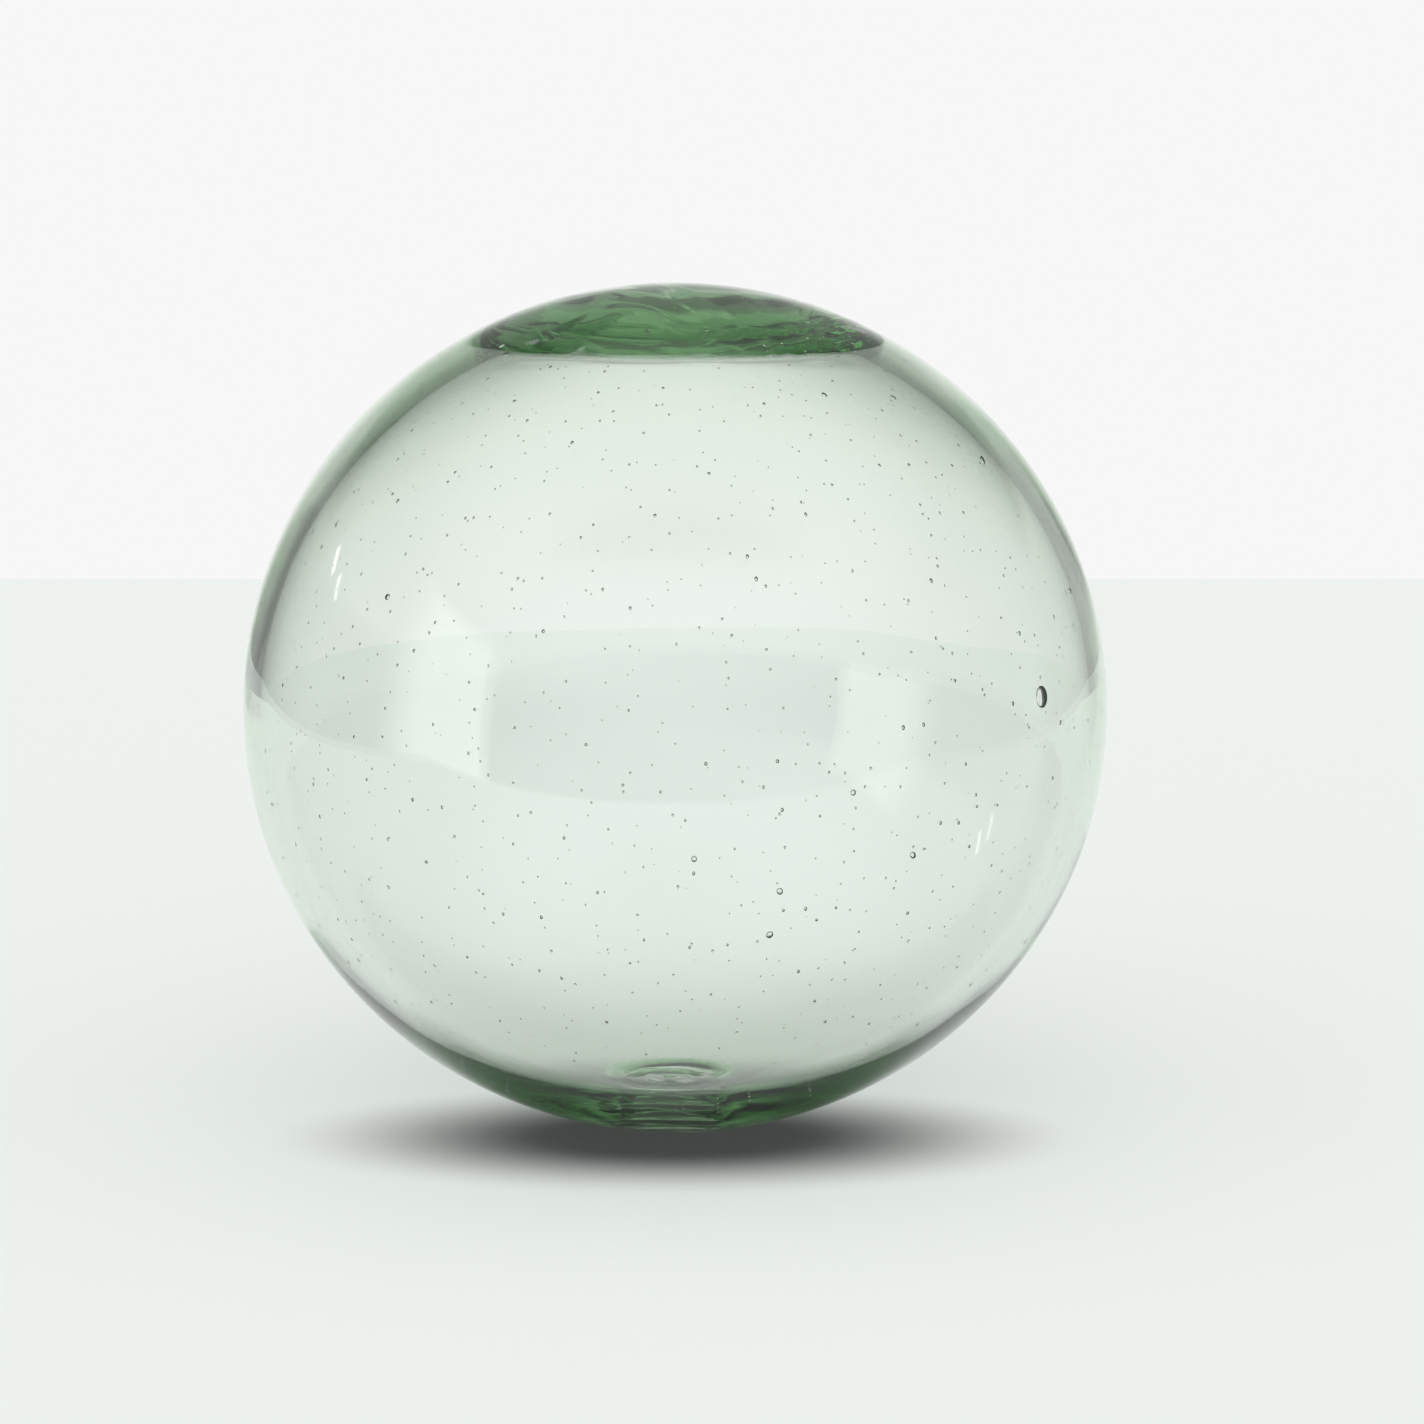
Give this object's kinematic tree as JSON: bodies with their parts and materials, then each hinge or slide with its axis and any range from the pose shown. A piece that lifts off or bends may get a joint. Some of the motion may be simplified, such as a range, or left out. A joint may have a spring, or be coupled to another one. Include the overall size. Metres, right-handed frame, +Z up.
{
  "type": "blown glass ball",
  "caption": "Round hollow ball of pale green blown glass, sealed at a thick crown, with a small flat spot underneath that it rests on.",
  "frame": {"origin": "under the middle of the ball, on the surface that it stands on", "axes": "+Z up, from the flat spot to the thick sealed crown; the ball is turned about Z, so X and Y are alike, and the picture looks along +Y"},
  "size_m": [0.15, 0.15, 0.146],
  "materials": {
    "green_glass": "pale bottle green, clear and glossy, with fine seeds of trapped air"
  },
  "bodies": {
    "root": {"glass_ball": "green_glass"}
  },
  "joints": []
}
